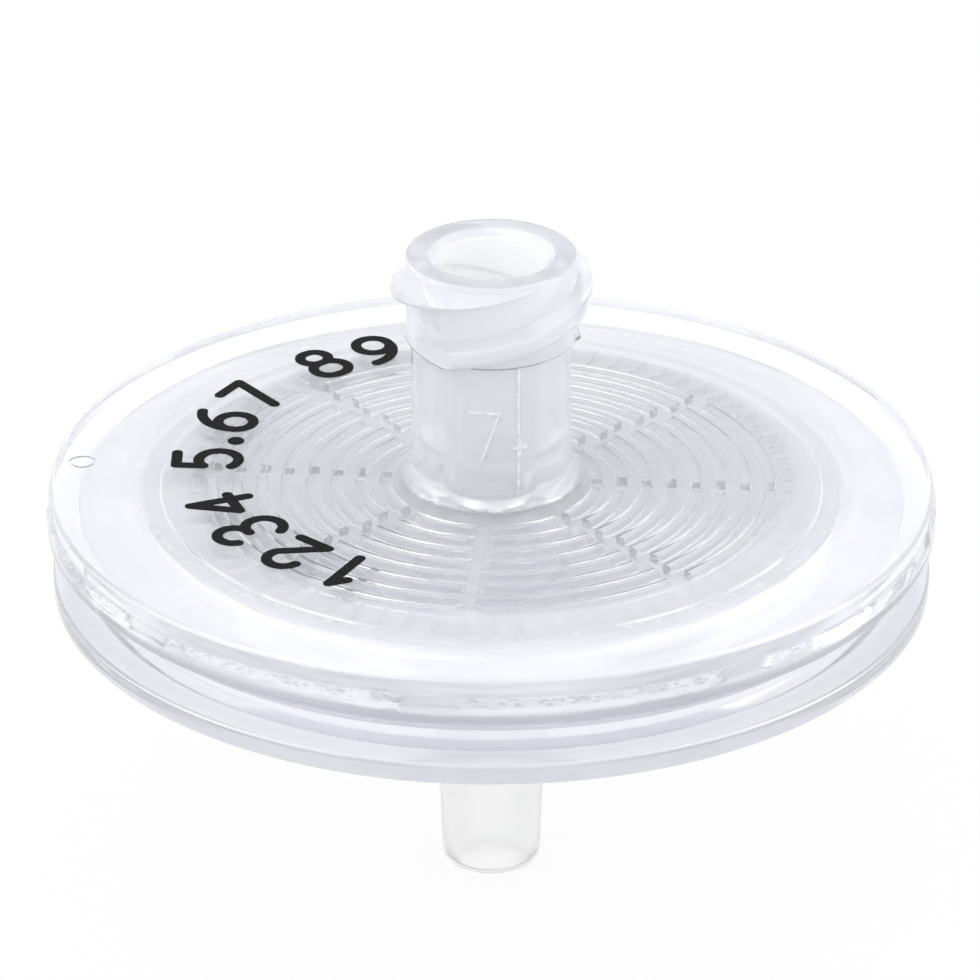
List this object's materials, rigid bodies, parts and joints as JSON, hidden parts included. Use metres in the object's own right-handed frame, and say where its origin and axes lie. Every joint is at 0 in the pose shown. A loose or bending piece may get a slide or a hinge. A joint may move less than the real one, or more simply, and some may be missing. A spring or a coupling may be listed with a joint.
{
  "type": "syringe filter",
  "caption": "Disc syringe filter: female luer-lock hub on a flat translucent housing, membrane inside, luer-slip outlet below.",
  "frame": {"origin": "centre of the outlet spigot's end face", "axes": "+Z along the flow axis from the outlet to the inlet, -Y towards the side the mould number faces"},
  "size_m": [0.0348, 0.0348, 0.0266],
  "materials": {
    "inlet_plastic": "translucent natural polypropylene, moulded smooth",
    "outlet_plastic": "translucent natural polypropylene, moulded smooth",
    "membrane": "matt white porous film",
    "ink": "matt black pad-printed ink"
  },
  "bodies": {
    "root": {"inlet_housing": "inlet_plastic", "outlet_housing": "outlet_plastic", "membrane": "membrane", "printed_figures": "ink"}
  },
  "joints": []
}
